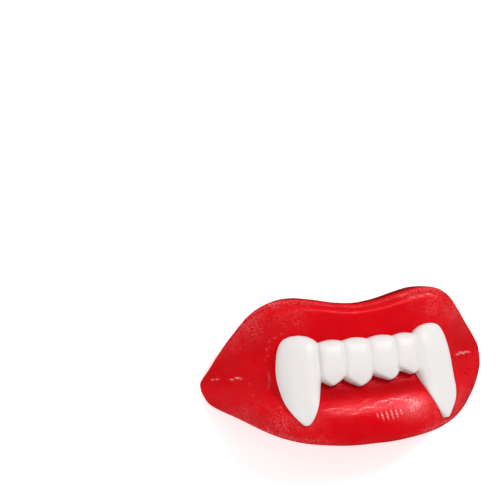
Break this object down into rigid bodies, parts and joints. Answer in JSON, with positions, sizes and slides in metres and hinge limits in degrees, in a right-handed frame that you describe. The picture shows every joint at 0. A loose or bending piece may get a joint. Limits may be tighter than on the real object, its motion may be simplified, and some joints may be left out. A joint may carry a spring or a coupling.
{
  "type": "wax vampire lips",
  "caption": "Joke-shop pair of hollow red wax lips with a row of white wax vampire teeth on the front and a bite tab behind, held in front of the mouth by the wearer's own teeth.",
  "frame": {"origin": "on the resting plane, under the centre of the part's bounding box", "axes": "the part lies on its back: +X from mouth corner to mouth corner, +Y from the lower lip to the upper lip, +Z out of the front of the lips, away from the wearer's face"},
  "size_m": [0.095, 0.0492, 0.0313],
  "materials": {
    "red_wax": "satin, slightly greasy paraffin wax",
    "white_wax": "soft satin paraffin wax"
  },
  "bodies": {
    "root": {"lips": "red_wax", "tooth_row": "white_wax"}
  },
  "joints": []
}
